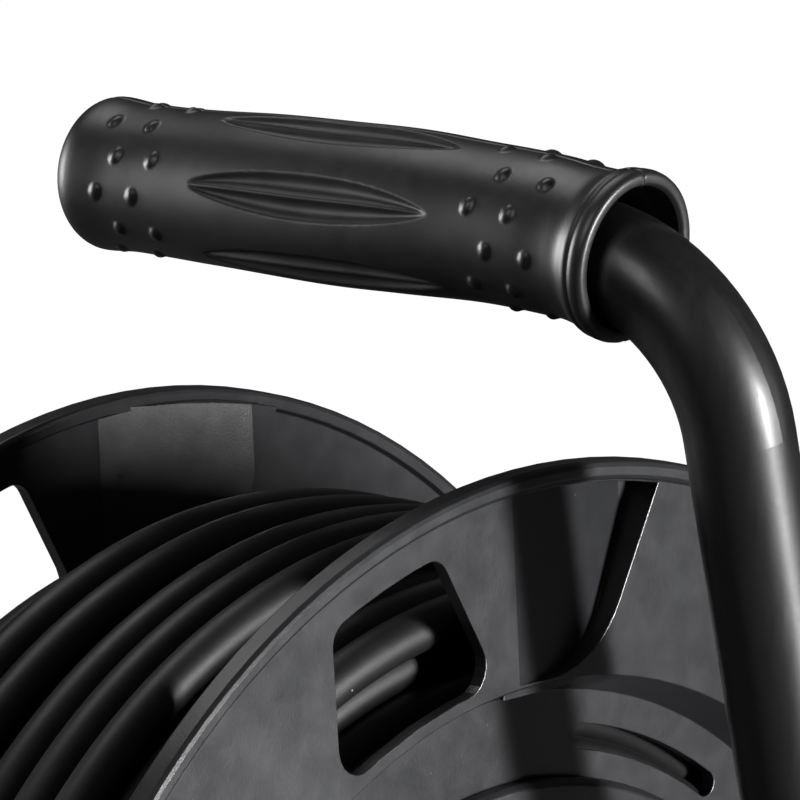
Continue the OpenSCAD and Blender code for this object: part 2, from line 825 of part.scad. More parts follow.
module socket_panel() color("#2a2a2c")
    difference() {
        union() {
            on_axis(panel_y) cylinder(h = panel_y - dish_y, r = panel_r, $fn = 128);
            for (k = [0:3]) at_socket(k) {
                y_disc(cup_floor_y - 2.5, panel_y + 1.4, cup_r);
                for (s = [-1, 1])
                    translate([s * 17, 0, hinge_h]) {
                        translate([-3, hinge_y, 0]) rotate([0, 90, 0])
                            cylinder(h = 6, r = knuckle_r, $fn = 32);
                        translate([-3, panel_y - 1, -knuckle_r])
                            cube([6, hinge_y - panel_y + 1, 2 * knuckle_r]);
                    }
            }
            y_collar();
        }
        for (k = [0:3]) at_socket(k) {
            y_disc(cup_floor_y, panel_y + 5, socket_r);
            for (s = [-1, 1])
                translate([s * pin_half, 0, 0]) y_disc(cup_floor_y - 5, panel_y, 3.8);
            translate([-24, hinge_y, hinge_h]) rotate([0, 90, 0])
                cylinder(h = 48, r = pin_r + gap, $fn = 32);
        }
        translate([0, 0, axle_z]) y_disc(0, 100, button_r + 0.1);
        for (k = [0:2]) on_axis(dish_y + 2.6) rotate([0, 0, screw_a0 + k * 120])
            translate([boss_r, 0, 0]) cylinder(h = 2.6 + tip, r = 4.4, $fn = 24);
        for (a = [0:90:270]) on_axis(panel_y + tip) rotate([0, 0, a])
            translate([panel_r - 10, 0, 0]) cylinder(h = 20, r = 2.2, $fn = 24);
    }

module y_collar() translate([0, 0, axle_z]) y_disc(panel_y - 1, panel_y + 2, button_r + 3);

module socket_inserts() color("#3a3a3c")
    for (k = [0:3]) at_socket(k)
        difference() {
            y_disc(cup_floor_y + gap, cup_floor_y + 3, socket_r - gap);
            for (s = [-1, 1])
                translate([s * pin_half, 0, 0]) y_disc(cup_floor_y - 5, panel_y, 2.6);
        }

module socket_contacts() color("#c9a24a")
    for (k = [0:3]) at_socket(k)
        for (s = [-1, 1])
            translate([s * pin_half, 0, 0])
                difference() {
                    y_disc(cup_floor_y - 13, cup_floor_y, 3.6);
                    y_disc(cup_floor_y - 12, cup_floor_y + 1, 2.5);
                }

module earth_clips() color("#c8cacc")
    for (k = [0:3]) at_socket(k)
        for (s = [-1, 1])
            translate([-3, cup_floor_y + 3 + gap, s > 0 ? socket_r - 1.6 : -socket_r + 0.6])
                cube([6, 10, 1]);

module panel_screws() color("#8f9296")
    for (a = [0:90:270])
        mirror([0, 1, 0]) on_axis(-panel_y) rotate([0, 0, a])
            translate([panel_r - 10, 0, 0]) pan_screw(1.9, 4.8, 3.8, 2.2);

module lid_pins() color("#a8abaf")
    for (k = [0:3]) at_socket(k)
        translate([-20, hinge_y, hinge_h]) rotate([0, 90, 0])
            cylinder(h = 40, r = pin_r, $fn = 32);

module lid_springs() color("#8a8d92")
    for (k = [0:3]) at_socket(k)
        for (i = [0:3])
            translate([10.6 + i * 0.9, hinge_y, hinge_h]) rotate([0, 90, 0])
                rotate_extrude($fn = 24) translate([pin_r + 0.4, 0]) circle(r = 0.3, $fn = 16);

module lid_seals() color("#0c0c0c")
    for (k = [0:3]) at_socket(k)
        difference() {
            y_disc(panel_y + 1.4, lid_y - gap, cup_r - 0.4);
            y_disc(panel_y, lid_y + 1, socket_r + 0.2);
        }

// A sprung lid, hinged along its top edge
module lid(k) color("#2a2a2c")
    at_socket(k)
        difference() {
            union() {
                translate([0, lid_y + lid_t, 0]) rotate([90, 0, 0])
                    linear_extrude(height = lid_t) polygon(plate(lid_w, lid_w, 6));
                translate([-8, hinge_y, hinge_h]) rotate([0, 90, 0])
                    cylinder(h = 16, r = knuckle_r - 0.5, $fn = 32);
                translate([-8, hinge_y, lid_w / 2 - 1])
                    cube([16, lid_y + lid_t - hinge_y - 0.8, hinge_h - lid_w / 2 + 1]);
                translate([-7, lid_y + lid_t - 1, -lid_w / 2 + 2]) cube([14, 2.2, 2.4]);
            }
            translate([-9, hinge_y, hinge_h]) rotate([0, 90, 0])
                cylinder(h = 18, r = pin_r + gap, $fn = 32);
        }

module lid_1() lid(0);
module lid_2() lid(1);
module lid_3() lid(2);
module lid_4() lid(3);

module cutout_body() color("#d8d4c6")
    translate([0, 0, axle_z])
        difference() {
            union() {
                translate([-9, dish_y - 24, -5]) cube([18, 24 - gap, 10]);
                y_disc(dish_y - 6, dish_y - gap, 5.6);
            }
            y_disc(dish_y - 17, dish_y + 5, 4);
        }

module reset_button() color("#b5231c")
    translate([0, 0, axle_z]) {
        y_disc(panel_y - 1.8, panel_y + 5, button_r);
        y_disc(dish_y - 8, panel_y - 1, 3.4);
    }

module reset_spring() color("#8a8d92")
    translate([0, 0, axle_z])
        for (i = [0:3])
            translate([0, dish_y - 15.6 + i * 1.2, 0]) rotate([90, 0, 0])
                rotate_extrude($fn = 24) translate([2.6, 0]) circle(r = 0.4, $fn = 16);

// ---------- crank knob ----------

module at_knob() {
    p = polar(knob_ring_r, knob_a);
    translate([p[0], 0, axle_z + p[1]]) children();
}

module knob_spindle() color("#9a9da1")
    at_knob() {
        y_disc(flange_y - wall - 2.5, knob_y1 - 6, spindle_r);
        y_disc(flange_y - wall - 2.5, flange_y - wall - gap, 8);
        y_disc(flange_y + gap, flange_y + 2, 8);
        y_disc(knob_y1 - 6 - gap, knob_y1 - 4, spindle_r + 2.5);
    }

module crank_knob() color("#232325")
    at_knob()
        difference() {
            translate([0, knob_y0, 0]) rotate([-90, 0, 0])
                rotate_extrude()
                    polygon([
                        [0, 0],
                        [11, 0],
                        [12, 1],
                        [12, 3],
                        [10, 8],
                        [9.4, 14],
                        [10.4, 24],
                        [12.5, 31],
                        [13, 34],
                        [12, 37],
                        [10.4, knob_y1 - knob_y0],
                        [0, knob_y1 - knob_y0]
                    ]);
            y_disc(knob_y0 - tip, knob_y1, spindle_r + gap);
            y_disc(knob_y1 - 6 - 2 * gap, knob_y1 + tip, 8);
        }

module knob_cap() color("#1d1d1f")
    at_knob()
        difference() {
            y_disc(knob_y1 - 3.4, knob_y1 - 0.4, 8 - gap);
            y_disc(knob_y1 - 1.2, knob_y1, 5.5);
        }

handle_tube();
brace_tube();
front_bar();
joint_sleeves();
brace_weld();
bracket_inner();
bracket_outer();
bracket_screws();
axle();
axle_nut();
thrust_washer();
end_washer();
retaining_ring();
grip_shell_left();
grip_shell_right();
grip_screws();
tube_end_plug();
rubber_feet();
rear_flange();
front_flange();
core_barrel();
flange_screws();
rear_hub_cover();
bush_rear();
bush_front();
cable_winding();
cable_tail();
cable_gland();
inner_lead();
terminal_block();
plug_body();
plug_pins();
plug_boot();
plug_clip();
socket_panel();
socket_inserts();
socket_contacts();
earth_clips();
panel_screws();
lid_pins();
lid_springs();
lid_seals();
lid_1();
lid_2();
lid_3();
lid_4();
cutout_body();
reset_button();
reset_spring();
knob_spindle();
crank_knob();
knob_cap();
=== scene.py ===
import json
import math

import bpy
import numpy as np
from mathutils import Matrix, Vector


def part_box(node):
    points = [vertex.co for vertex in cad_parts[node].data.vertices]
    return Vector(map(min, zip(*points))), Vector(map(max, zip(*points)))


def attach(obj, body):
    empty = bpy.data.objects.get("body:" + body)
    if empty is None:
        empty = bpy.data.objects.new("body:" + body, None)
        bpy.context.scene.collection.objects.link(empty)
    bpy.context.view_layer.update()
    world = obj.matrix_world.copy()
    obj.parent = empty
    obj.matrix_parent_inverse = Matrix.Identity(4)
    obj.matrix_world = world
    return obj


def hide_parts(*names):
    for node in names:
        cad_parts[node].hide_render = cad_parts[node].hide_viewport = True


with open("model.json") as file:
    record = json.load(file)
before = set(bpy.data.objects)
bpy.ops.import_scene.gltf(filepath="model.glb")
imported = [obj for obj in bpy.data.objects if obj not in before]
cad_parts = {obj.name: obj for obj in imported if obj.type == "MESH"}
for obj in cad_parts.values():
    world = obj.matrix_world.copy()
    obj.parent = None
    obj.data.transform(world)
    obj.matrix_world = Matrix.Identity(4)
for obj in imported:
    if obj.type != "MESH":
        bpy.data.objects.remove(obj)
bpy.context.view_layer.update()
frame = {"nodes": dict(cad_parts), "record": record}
MM = 0.001

# ---------------------------------------------------------------- sizes from the frame

AXLE_Z = sum(v.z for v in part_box("axle")) / 2
GRIP_LOW, GRIP_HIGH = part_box("grip_shell_left")
ARM_Z = (GRIP_LOW.z + GRIP_HIGH.z) / 2
GRIP_Y0, GRIP_Y1 = GRIP_LOW.y, GRIP_HIGH.y
CORE_LOW, CORE_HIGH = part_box("core_barrel")
CORE_R = (CORE_HIGH.z - CORE_LOW.z) / 2
CABLE_R = 4.5 * MM


# ---------------------------------------------------------------- node helpers

class Nodes:
    """A material's node tree, with short calls to add and join nodes."""

    def __init__(self, name):
        self.material = bpy.data.materials.new(name)
        self.material.use_nodes = True
        self.tree = self.material.node_tree
        self.shader = self.tree.nodes["Principled BSDF"]
        self.place = self.add("ShaderNodeTexCoord").outputs["Object"]
        self.height = None

    def add(self, kind, **values):
        node = self.tree.nodes.new(kind)
        for key, value in values.items():
            if hasattr(node, key):
                setattr(node, key, value)
            else:
                node.inputs[key.replace("_", " ")].default_value = value
        return node

    def join(self, a, b):
        self.tree.links.new(a, b)

    def noise(self, scale, detail=3.0, rough=0.55, stretch=None):
        node = self.add("ShaderNodeTexNoise", Scale=scale, Detail=detail, Roughness=rough)
        source = self.place
        if stretch:
            mapping = self.add("ShaderNodeMapping")
            mapping.inputs["Scale"].default_value = stretch
            self.join(source, mapping.inputs["Vector"])
            source = mapping.outputs["Vector"]
        self.join(source, node.inputs["Vector"])
        return node.outputs["Fac"]

    def ramp(self, source, low, high, a=0.0, b=1.0):
        node = self.add("ShaderNodeMapRange")
        node.inputs["From Min"].default_value = low
        node.inputs["From Max"].default_value = high
        node.inputs["To Min"].default_value = a
        node.inputs["To Max"].default_value = b
        self.join(source, node.inputs["Value"])
        return node.outputs["Result"]

    def math(self, kind, a, b):
        node = self.add("ShaderNodeMath", operation=kind)
        for socket, value in zip(node.inputs, (a, b)):
            if isinstance(value, (int, float)):
                socket.default_value = value
            else:
                self.join(value, socket)
        return node.outputs["Value"]

    def mix(self, share, a, b):
        """Blends two colours, each a socket or a plain tuple."""
        node = self.add("ShaderNodeMix", data_type="RGBA")
        self.join(share, node.inputs["Factor"])
        for name, value in (("A", a), ("B", b)):
            socket = [s for s in node.inputs if s.name == name and s.type == "RGBA"][0]
            if isinstance(value, tuple):
                socket.default_value = (*value, 1.0)
            else:
                self.join(value, socket)
        return [s for s in node.outputs if s.type == "RGBA"][0]

    def colour(self, source):
        self.join(source, self.shader.inputs["Base Color"])

    def bump(self, source, depth, strength=1.0):
        """Adds a bump layer of the given depth in metres on top of those before it."""
        node = self.add("ShaderNodeBump", Strength=strength, Distance=depth)
        self.join(source, node.inputs["Height"])
        if self.height is not None:
            self.join(self.height, node.inputs["Normal"])
        self.height = node.outputs["Normal"]
        self.join(self.height, self.shader.inputs["Normal"])

    def specks(self, scale, size, share):
        """A mask of sparse round dust specks."""
        cells = self.add("ShaderNodeTexVoronoi", Scale=scale)
        self.join(self.place, cells.inputs["Vector"])
        dot = self.ramp(cells.outputs["Distance"], size, size * 0.4)
        keep = self.add("ShaderNodeTexWhiteNoise", noise_dimensions="3D")
        self.join(cells.outputs["Position"], keep.inputs["Vector"])
        chosen = self.math("LESS_THAN", keep.outputs["Value"], share)
        return self.math("MULTIPLY", dot, chosen)


DUST = (0.42, 0.40, 0.36)


def moulded(name, colour, rough, grain=2600.0, depth=0.00003, drift=0.12, dust=0.0, spec=0.5,
            edge=0.0):
    """Moulded plastic or rubber: fine grain, slow tone drift, dust and slightly worn edges."""
    n = Nodes(name)
    slow = n.noise(22.0, 2.0)
    fine = n.noise(grain, 2.0, 0.6)
    cloud = n.noise(160.0, 4.0, 0.6)
    dark = tuple(c * (1 - drift) for c in colour)
    light = tuple(c * (1 + drift) for c in colour)
    tone = n.mix(n.ramp(slow, 0.3, 0.7), dark, light)
    tone = n.mix(n.math("MULTIPLY", n.ramp(fine, 0.35, 0.7), 0.35), tone,
                 tuple(min(1.0, c * 1.5) for c in colour))
    if edge > 0:
        worn = n.add("ShaderNodeNewGeometry").outputs["Pointiness"]
        tone = n.mix(n.math("MULTIPLY", n.ramp(worn, 0.52, 0.62), edge), tone,
                     tuple(min(1.0, c * 2.4 + 0.02) for c in colour))
    if dust > 0:
        tone = n.mix(n.math("MULTIPLY", n.specks(420.0, 0.10, 0.035), dust), tone, DUST)
    n.colour(tone)
    n.join(n.ramp(cloud, 0.25, 0.75, rough - 0.04, rough + 0.05), n.shader.inputs["Roughness"])
    n.shader.inputs["Specular IOR Level"].default_value = spec
    n.bump(fine, depth, 0.6)
    n.bump(cloud, depth, 0.15)
    return n.material


def powder_coat(name, colour):
    """Satin black powder coat with a light orange peel and a few handling marks."""
    n = Nodes(name)
    peel = n.noise(420.0, 2.0, 0.5)
    slow = n.noise(30.0, 3.0)
    marks = n.noise(90.0, 6.0, 0.7, stretch=(4.0, 4.0, 0.35))
    tone = n.mix(n.ramp(slow, 0.3, 0.7), colour, tuple(c * 1.5 for c in colour))
    tone = n.mix(n.math("MULTIPLY", n.specks(260.0, 0.06, 0.02), 0.5), tone, (0.3, 0.3, 0.3))
    n.colour(tone)
    n.join(n.ramp(marks, 0.3, 0.75, 0.36, 0.48), n.shader.inputs["Roughness"])
    n.shader.inputs["Coat Weight"].default_value = 0.1
    n.shader.inputs["Coat Roughness"].default_value = 0.18
    n.bump(peel, 0.00006, 0.35)
    return n.material


def plated(name, colour, rough, stretch):
    """Zinc or nickel plated steel: drawn streaks and a cloudy film."""
    n = Nodes(name)
    streak = n.noise(900.0, 3.0, 0.6, stretch=stretch)
    film = n.noise(120.0, 5.0, 0.65)
    n.colour(n.mix(n.ramp(film, 0.3, 0.7), tuple(c * 0.78 for c in colour), colour))
    n.shader.inputs["Metallic"].default_value = 1.0
    n.join(n.ramp(streak, 0.3, 0.7, rough - 0.08, rough + 0.12), n.shader.inputs["Roughness"])
    n.bump(streak, 0.00001, 0.5)
    return n.material


MATERIALS = {
    "powder_coat": powder_coat("powder_coat", (0.003, 0.003, 0.0033)),
    "flange_plastic": moulded("flange_plastic", (0.011, 0.0112, 0.0125), 0.31, 2400.0, 0.00004,
                              0.10, dust=0.12, edge=0.25),
    "black_plastic": moulded("black_plastic", (0.016, 0.016, 0.017), 0.42, 2600.0, 0.00003,
                             0.14, dust=0.1, edge=0.3),
    "grip_plastic": moulded("grip_plastic", (0.0065, 0.0065, 0.007), 0.40, 3000.0, 0.00003,
                            0.12, dust=0.06, edge=0.25),
    "cable_rubber": moulded("cable_rubber", (0.0036, 0.0036, 0.0038), 0.50, 1800.0, 0.00004,
                            0.25, dust=0.8, spec=0.36),
    "foot_rubber": moulded("foot_rubber", (0.010, 0.010, 0.010), 0.62, 1500.0, 0.00006,
                           0.25, dust=0.7),
    "bush_plastic": moulded("bush_plastic", (0.60, 0.58, 0.51), 0.38, 2200.0, 0.00002),
    "ceramic_cream": moulded("ceramic_cream", (0.62, 0.59, 0.50), 0.35, 2200.0, 0.00002),
    "button_red": moulded("button_red", (0.45, 0.02, 0.015), 0.25, 2600.0, 0.00001),
    "zinc_steel": plated("zinc_steel", (0.58, 0.59, 0.60), 0.3, (1.0, 1.0, 12.0)),
    "axle_steel": plated("axle_steel", (0.60, 0.61, 0.62), 0.24, (12.0, 1.0, 12.0)),
    "spring_steel": plated("spring_steel", (0.42, 0.43, 0.45), 0.32, (1.0, 12.0, 12.0)),
    "contact_brass": plated("contact_brass", (0.75, 0.55, 0.24), 0.28, (12.0, 1.0, 12.0)),
    "nickel_pins": plated("nickel_pins", (0.76, 0.74, 0.71), 0.18, (1.0, 12.0, 12.0)),
}

NODE_SLOTS = {s["node"]: s["material_slot"] for s in frame["record"]["subparts"]}


# ---------------------------------------------------------------- mesh helpers

def new_piece(name, verts, faces, slot, body, replaced, sharp_deg):
    """A smooth-shaded mesh piece that rides on a body and stands for a CAD node."""
    mesh = bpy.data.meshes.new(name)
    mesh.from_pydata(verts.tolist(), [], faces)
    mesh.validate()
    mesh.polygons.foreach_set("use_smooth", [True] * len(mesh.polygons))
    mesh.set_sharp_from_angle(angle=math.radians(sharp_deg))
    mesh.update()
    piece = bpy.data.objects.new(name, mesh)
    bpy.context.scene.collection.objects.link(piece)
    mesh.materials.append(MATERIALS[slot])
    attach(piece, body)
    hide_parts(replaced)


def swept(path, radius, sides, closed):
    """Vertices and faces of a round sweep along a path of points."""
    p = np.asarray(path, float)
    if closed:
        ahead = np.roll(p, -1, 0) - np.roll(p, 1, 0)
    else:
        ahead = np.gradient(p, axis=0)
    ahead /= np.linalg.norm(ahead, axis=1)[:, None]
    out = p - np.array([0.0, 0.0, AXLE_Z])
    out[:, 1] = 0.0
    side = np.cross(ahead, out)
    side /= np.linalg.norm(side, axis=1)[:, None]
    up = np.cross(side, ahead)
    turn = np.linspace(0, 2 * math.pi, sides, endpoint=False)
    ring = (np.cos(turn)[None, :, None] * side[:, None, :]
            + np.sin(turn)[None, :, None] * up[:, None, :])
    verts = (p[:, None, :] + radius * ring).reshape(-1, 3)
    count = len(p)
    faces = []
    for i in range(count if closed else count - 1):
        a, b = i * sides, ((i + 1) % count) * sides
        for j in range(sides):
            k = (j + 1) % sides
            faces.append((a + j, a + k, b + k, b + j))
    if not closed:
        faces.append(tuple(range(sides))[::-1])
        faces.append(tuple((count - 1) * sides + j for j in range(sides)))
    return verts, faces


def joined(parts):
    """One vertex and face list from several."""
    verts, faces, start = [], [], 0
    for v, f in parts:
        verts.append(v)
        faces += [tuple(i + start for i in face) for face in f]
        start += len(v)
    return np.concatenate(verts), faces


# ---------------------------------------------------------------- grip

# Outer radius along the grip, in mm from its open end, and how far its middle is raised
GRIP_RADIUS = [(0.0, 16.9), (2.0, 17.25), (4.6, 17.0), (7.5, 15.9), (11.0, 15.5), (20.0, 15.65),
               (38.0, 15.75), (56.0, 16.35), (76.0, 16.45), (94.0, 16.1), (110.0, 15.5),
               (124.0, 15.1), (131.0, 15.1), (138.0, 15.6), (146.0, 15.5)]
GRIP_RAISE = [(0.0, 0.3), (6.0, 0.8), (16.0, 2.0), (30.0, 2.7), (44.0, 2.8), (60.0, 2.6),
              (75.0, 2.1), (98.0, 1.7), (115.0, 1.2), (146.0, 1.0)]
GRIP_NARROW = 0.955                 # width over height of the grip's section
HALF_GAP = 0.12                     # each half stands this far off the middle plane
SEAM_DEG, SEAM_DEPTH = 1.6, 0.3     # the groove along the joint of the halves
MOUTH_TILT, MOUTH_REACH = 0.14, 26.0  # lean of the open end, and how far in it fades
MOUTH_R, DOME = 14.1, 7.5           # bore radius, and length of the rounded far end
SIDE_WALL, END_WALL = 2.2, 3.0
# Leaves: middle and half length along the grip, half width in degrees, depth, angle of the
# first, angle between two, and how far the ridge's flanks spread in degrees
LEAF_MID, LEAF_HALF, LEAF_DEG = 73.4, 32.0, 16.5
LEAF_DEPTH, LEAF_FIRST, LEAF_STEP, LEAF_GAP = 1.7, 11.5, 60.0, 1.0
# Flat round pads that keep the +X skin over the grip's screw heads: places, face and radius
PAD_PLACES, PAD_X, PAD_R = (22.0, 73.0, 120.0), 14.15, 4.4
BUMP_STEP, BUMP_HEIGHT = 30.0, 0.7
# Bumps: place of the even rows, extra for the odd rows, angle of the first row
BUMPS = [(15.8, 5.4, -8.0), (26.1, 5.4, -8.0), (131.3, -4.4, -4.0), (121.3, -4.4, -4.0)]


def along(table, s):
    """Smooth value from a table of (place, value), in mm."""
    xs, ys = (np.array(v) for v in zip(*table))
    slopes = np.gradient(ys, xs)
    i = int(np.clip(np.searchsorted(xs, s) - 1, 0, len(xs) - 2))
    h = xs[i + 1] - xs[i]
    t = np.clip((s - xs[i]) / h, 0, 1)
    return ((2 * t ** 3 - 3 * t ** 2 + 1) * ys[i] + (t ** 3 - 2 * t ** 2 + t) * h * slopes[i]
            + (3 * t ** 2 - 2 * t ** 3) * ys[i + 1] + (t ** 3 - t ** 2) * h * slopes[i + 1])


def leaf_depth(s, angle):
    """Depth of the leaves: two flutes each, split by a ridge that opens towards one tip."""
    u = (s - LEAF_MID) / LEAF_HALF
    if abs(u) >= 1:
        return np.zeros_like(angle)
    width = LEAF_DEG * (1 - u * u) ** 0.72
    off = (angle - LEAF_FIRST + LEAF_STEP / 2) % LEAF_STEP - LEAF_STEP / 2
    a = np.clip((np.abs(off) - LEAF_GAP * max(u, 0.0)) / max(width, 0.4), 0, 1)
    crest = np.where(a < 0.5, 1 - 0.28 * (1 - u * u), 1.0)
    return LEAF_DEPTH * (1 - u * u) ** 0.6 * (1 - crest * (2 * a - 1) ** 2)


def bump_height(s, angle, radius):
    """Height of the oval grip bumps near both ends, in staggered rows."""
    height = np.zeros_like(angle)
    for first, shift, start in BUMPS:
        row = np.round((angle - start) / BUMP_STEP)
        off = np.radians(angle - start - row * BUMP_STEP) * radius
        place = s - first - shift * (row.astype(int) % 2)
        d, e = place / 1.45, (off + 0.25 * place) / 1.9
        height += BUMP_HEIGHT * np.clip(1 - d * d - e * e, 0, 1) ** 0.8
    return height


def over_screws(s, skin, sin, cos):
    """The skin's radius with a flat round pad over each screw head."""
    for place in PAD_PLACES:
        away = np.hypot(s - place, skin * sin + along(GRIP_RAISE, s)) - PAD_R
        pad = PAD_X / GRIP_NARROW / np.maximum(cos, 0.3) - 2.0 * np.clip(away, 0, 1)
        skin = np.where(away < 1, np.maximum(skin, pad), skin)
    return skin


def grip_rows(length):
    """Outer place and radius, inner place and radius, of each ring of the half shell."""
    rows = []
    lip = [(0.55, 14.35), (0.12, 14.6), (0.0, 14.95), (0.0, 16.0), (0.12, 16.45), (0.5, 16.85),
           (1.1, 17.1), (2.0, 17.25), (2.9, 17.2), (3.3, 16.85), (3.7, 16.8), (4.1, 17.0)]
    for so, ro in lip:
        rows.append((so, ro, max(so, 0.9), MOUTH_R))
    for s in np.arange(4.6, length - DOME, 0.5):
        rows.append((s, along(GRIP_RADIUS, s), s, min(MOUTH_R, along(GRIP_RADIUS, s) - SIDE_WALL)))
    end_r = along(GRIP_RADIUS, length - DOME)
    for t in np.linspace(0.06, 1.0, 26):
        shrink = max(math.cos(t * math.pi / 2), 0.0) ** 0.6
        reach = math.sin(t * math.pi / 2)
        rows.append((length - DOME + DOME * reach, max(end_r * shrink, 0.25),
                     length - DOME + (DOME - END_WALL) * reach,
                     max((end_r - 2.4) * shrink, 0.1)))
    return rows


def grid_faces(a, b, rows, columns, stride):
    """Quads between columns of points that start at a and b and repeat at a stride."""
    i = np.arange(rows)[:, None] * stride
    j = np.arange(columns - 1)[None, :]
    quads = [a + i + j, a + i + j + 1, b + i + j + 1, b + i + j]
    return np.stack([np.broadcast_to(q, (rows, columns - 1)) for q in quads], 2).reshape(-1, 4)


def grip_half(side):
    """Vertices and faces of one half shell; side is -1 for the -X half."""
    length = (GRIP_Y1 - GRIP_Y0) / MM
    rows = grip_rows(length)
    half = np.linspace(-90.0, 90.0, 151)
    angle = half if side < 0 else 180.0 - half
    seam = np.clip(1 - (90.0 - np.abs(half)) / SEAM_DEG, 0, 1)
    cos, sin = np.cos(np.radians(half)), np.sin(np.radians(half))
    verts = []
    for so, ro, si, ri in rows:
        fade = np.clip((length - 5.0 - so) / 3.0, 0, 1) * np.clip((so - 6.0) / 3.0, 0, 1)
        skin = ro - leaf_depth(so, angle) + fade * bump_height(so, angle, ro) - SEAM_DEPTH * seam
        if side > 0:
            skin = over_screws(so, skin, sin, cos)
        for s, radius in ((so, np.maximum(skin, 0.2)), (si, np.full_like(half, ri))):
            tilt = -MOUTH_TILT * radius * sin * max(0.0, 1 - so / MOUTH_REACH)
            verts.append(np.stack([
                side * (radius * cos * GRIP_NARROW + HALF_GAP) * MM,
                GRIP_Y0 + (s + tilt) * MM,
                ARM_Z + (radius * sin + along(GRIP_RAISE, s)) * MM], 1))
    n, count = len(half), len(rows)
    stride = 2 * n
    outer = grid_faces(0, stride, count - 1, n, stride)
    inner = grid_faces(n, n + stride, count - 1, n, stride)[:, ::-1]
    mouth = grid_faces(0, n, 1, n, stride)[:, ::-1]
    end = grid_faces((count - 1) * stride, (count - 1) * stride + n, 1, n, stride)
    i = np.arange(count - 1) * stride
    low = np.stack([i, i + stride, i + stride + n, i + n], 1)
    high = np.stack([i + n - 1, i + 2 * n - 1, i + stride + 2 * n - 1, i + stride + n - 1], 1)
    faces = np.concatenate([outer, inner, mouth, end, low, high])
    if side > 0:
        faces = faces[:, ::-1]
    return np.concatenate(verts), faces.tolist()


def build_grip():
    """The two half shells' sculpted skins."""
    for side, name in ((-1, "grip_shell_left"), (1, "grip_shell_right")):
        verts, faces = grip_half(side)
        new_piece(name.replace("shell", "skin"), verts, faces, "grip_plastic", "frame", name,
                  70.0)


# ---------------------------------------------------------------- wound cable

LAYER_RISE = 7.95 * MM              # radius gained per nested layer
TURN_PITCH = 9.15 * MM
HALF_SPAN = 43.4 * MM               # furthest turn centre from the drum's middle
FIRST_LAYER = CORE_R + CABLE_R + 0.4 * MM
# The last run: half its span, its turns, where it starts, its seed, its rise over the layer
# below and how deep its ends are tucked in
TOP_SPAN, TOP_TURNS, TOP_START_DEG, TOP_SEED = 31 * MM, 5.6, 200.0, 21
TOP_RISE, TOP_TUCK = 8.6 * MM, 5.0 * MM
FULL_LAYERS = 7
STEPS = 150                         # points in a turn


def waver(angle, seed, size):
    """A smooth closed wobble round the drum."""
    rng = np.random.default_rng(seed)
    total = np.zeros_like(angle)
    for k, share in ((1, 0.6), (2, 0.45), (3, 0.3), (5, 0.12)):
        total += share * np.sin(k * angle + rng.uniform(0, 2 * math.pi))
    return size * total


def on_drum(angle, radius, y):
    """Points round the axle."""
    return np.stack([radius * np.cos(angle), y, AXLE_Z + radius * np.sin(angle)], 1)


def wound_layer(index, radius, ends_only):
    """The turns of one full layer, as closed rings that nest in the layer below."""
    angle = np.linspace(0, 2 * math.pi, STEPS, endpoint=False)
    shift = 0.5 * TURN_PITCH * (index % 2)
    count = int((2 * HALF_SPAN - shift) / TURN_PITCH) + 1
    start = -HALF_SPAN + shift
    parts = []
    for k in range(count):
        if ends_only and 2 <= k < count - 2:
            continue
        y = start + k * TURN_PITCH
        sway = waver(angle, 7, 0.9 * MM) + waver(angle, 100 * index + k, 0.22 * MM)
        room = 1 - (abs(y) / HALF_SPAN) ** 4
        lift = waver(angle, 500 + 100 * index + k, 0.3 * MM)
        parts.append(swept(on_drum(angle, radius + lift, y + sway * (0.25 + room)),
                           CABLE_R, 14, True))
    return parts


def top_helix(radius):
    """The last run of cable, wound over the full layers, with both ends tucked in."""
    t = np.linspace(0, 1, int(TOP_TURNS * STEPS))
    angle = math.radians(TOP_START_DEG) + t * TOP_TURNS * 2 * math.pi
    y = TOP_SPAN * (1 - 2 * t) + waver(angle * 0.61, TOP_SEED, 1.9 * MM)
    r = radius + waver(angle, TOP_SEED + 1, 0.25 * MM)
    fade = np.clip(np.minimum(t, 1 - t) * TOP_TURNS * 6, 0, 1)
    r = r - (1 - fade * fade * (3 - 2 * fade)) * TOP_TUCK
    return swept(on_drum(angle, r, y), CABLE_R, 16, False)


def build_winding():
    """The cable on the drum: only the ends of the hidden layers, then the turns in view."""
    parts = []
    for index in range(FULL_LAYERS):
        radius = FIRST_LAYER + index * LAYER_RISE
        parts += wound_layer(index, radius, index < FULL_LAYERS - 1)
    parts.append(top_helix(FIRST_LAYER + (FULL_LAYERS - 1) * LAYER_RISE + TOP_RISE))
    verts, faces = joined(parts)
    new_piece("wound_cable", verts, faces, "cable_rubber", "drum", "cable_winding", 60.0)


# ---------------------------------------------------------------- CAD nodes' finish

# Width in mm of the rounding on sharp edges
BEVELLED = {"rear_flange": 0.45, "front_flange": 0.45, "rear_hub_cover": 0.4,
            "socket_panel": 0.35, "bracket_inner": 0.8, "bracket_outer": 0.8,
            "rubber_feet": 1.2, "plug_clip": 0.5, "plug_body": 0.5}
# Pieces whose shallow folds stay crisp
CRISP = ("rear_flange", "front_flange", "rear_hub_cover")


